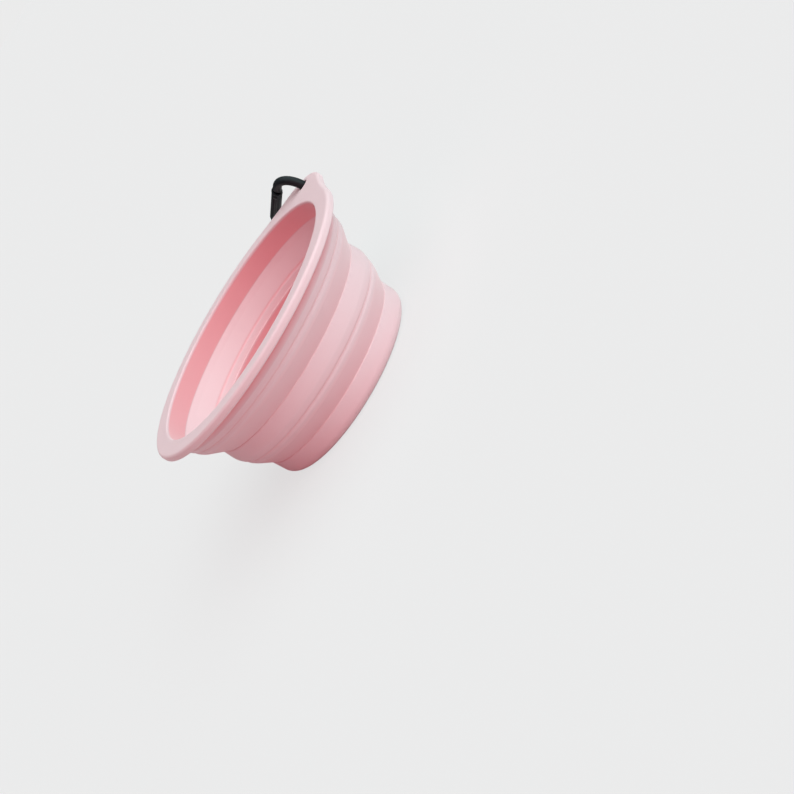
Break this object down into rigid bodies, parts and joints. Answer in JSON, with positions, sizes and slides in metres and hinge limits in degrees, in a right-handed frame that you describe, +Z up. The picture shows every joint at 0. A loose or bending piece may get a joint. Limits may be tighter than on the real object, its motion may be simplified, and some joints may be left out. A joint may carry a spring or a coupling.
{
  "type": "collapsible silicone bowl",
  "caption": "Collapsible silicone travel bowl in three stiff zones with two fold-over webs, a hanging tab and a snap hook.",
  "frame": {"origin": "centre of the flat underside, with the bowl standing open on it", "axes": "+Z up through the mouth, +X towards the hanging tab, +Y towards the side that the snap hook hangs to"},
  "size_m": [0.1402, 0.13, 0.0625],
  "materials": {
    "silicone": "matte moulded silicone, dusty pink",
    "black_metal": "satin black coating",
    "bare_steel": "bright drawn wire"
  },
  "bodies": {
    "base": {"base_floor": "silicone", "base_wall": "silicone", "lower_fold": "silicone"},
    "middle": {"middle_ring": "silicone", "upper_fold": "silicone"},
    "rim": {"rim_flange": "silicone", "upper_wall": "silicone"},
    "hook": {"carabiner_frame": "black_metal"},
    "gate": {"carabiner_gate": "black_metal", "gate_pivot_rivet": "black_metal", "gate_latch_pin": "black_metal", "gate_plunger": "bare_steel", "gate_spring": "bare_steel"}
  },
  "joints": [
    {"name": "lower_fold_slide", "type": "slide", "parent": "base", "child": "middle", "axis": [0, 0, -1], "range_m": [0, 0.0192], "deforming": ["lower_fold"]},
    {"name": "upper_fold_slide", "type": "slide", "parent": "middle", "child": "rim", "axis": [0, 0, -1], "range_m": [0, 0.0192], "deforming": ["upper_fold"]},
    {"name": "hook_swing", "type": "hinge", "parent": "rim", "child": "hook", "pos_m": [0.0694, 0.0093, 0.05125], "axis": [1, 0, 0], "range_deg": [-67, 97]},
    {"name": "gate_hinge", "type": "hinge", "parent": "hook", "child": "gate", "pos_m": [0.0694, 0.0191, 0.05719], "axis": [-1, 0, 0], "range_deg": [0, 28], "stiffness_Nm_per_rad": 0.008, "springref_deg": -57.3}
  ]
}
